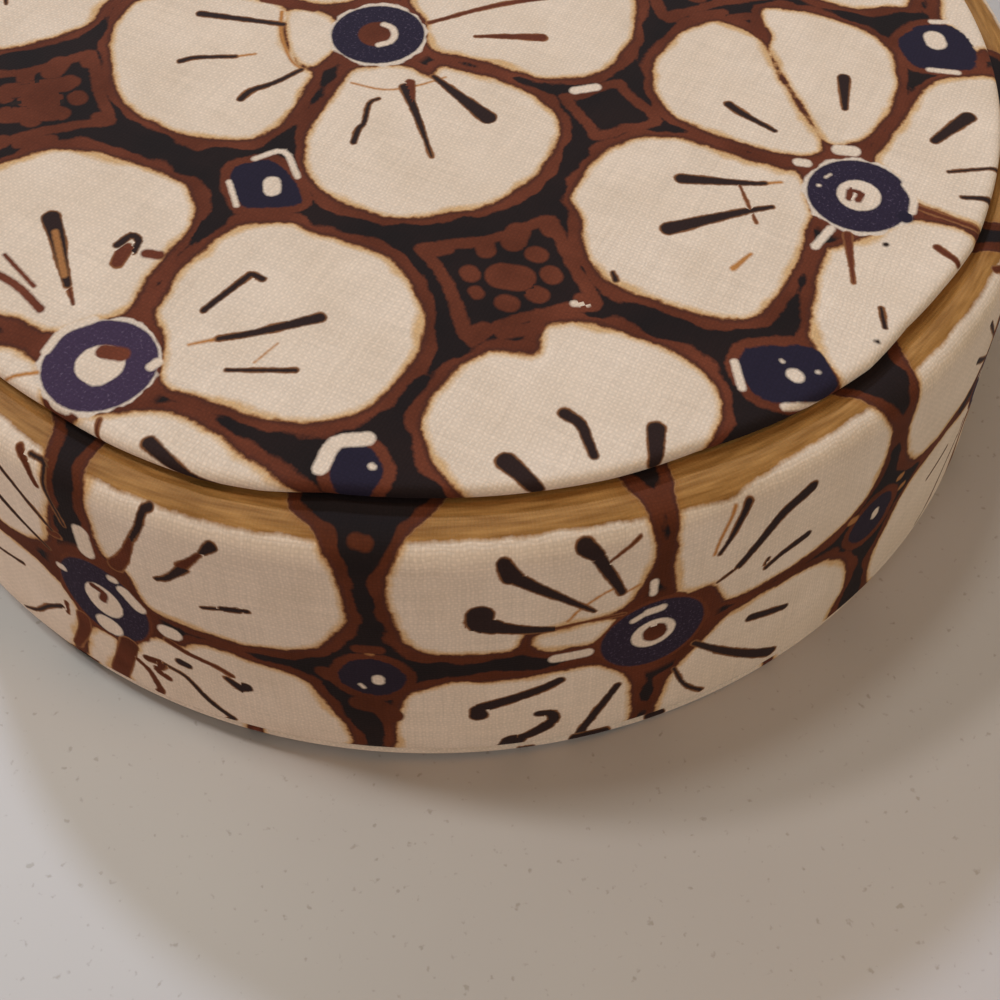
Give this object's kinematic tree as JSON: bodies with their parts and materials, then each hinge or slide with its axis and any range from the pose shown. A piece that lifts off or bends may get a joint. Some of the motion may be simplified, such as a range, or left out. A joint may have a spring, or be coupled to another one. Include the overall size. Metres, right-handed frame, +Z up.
{
  "type": "round keepsake box",
  "caption": "Round cloth-covered pasteboard box: a full-depth lid with a raised top panel lifts off a thin base plate with a lined neck and a padded floor.",
  "frame": {"origin": "centre of the underside, on the surface that the box stands on", "axes": "+Z up along the box's axis, towards the lid; -Y faces the picture's viewer, +X is to the right"},
  "size_m": [0.145, 0.145, 0.0384],
  "materials": {
    "board": "matte greyboard",
    "underside_paper": "matte",
    "plate_cloth": "matte printed cotton",
    "wall_cloth": "matte printed cotton",
    "panel_cloth": "matte printed cotton",
    "lining_cloth": "matte plain cotton",
    "wadding": "soft white wadding"
  },
  "bodies": {
    "base": {"base_board": "board", "base_paper": "underside_paper", "base_cloth": "plate_cloth", "neck_ring": "board", "neck_cloth": "lining_cloth", "floor_card": "board", "floor_wadding": "wadding", "floor_cloth": "lining_cloth"},
    "lid": {"lid_wall_board": "board", "lid_top_board": "board", "lid_wall_cloth": "wall_cloth", "lid_wall_lining": "lining_cloth", "lid_lining_card": "board", "lid_lining_cloth": "lining_cloth", "lid_panel_board": "board", "lid_panel_cloth": "panel_cloth"}
  },
  "joints": [
    {"name": "lid_lift", "type": "slide", "parent": "base", "child": "lid", "axis": [0, 0, 1], "range_m": [0, 0.05]}
  ]
}
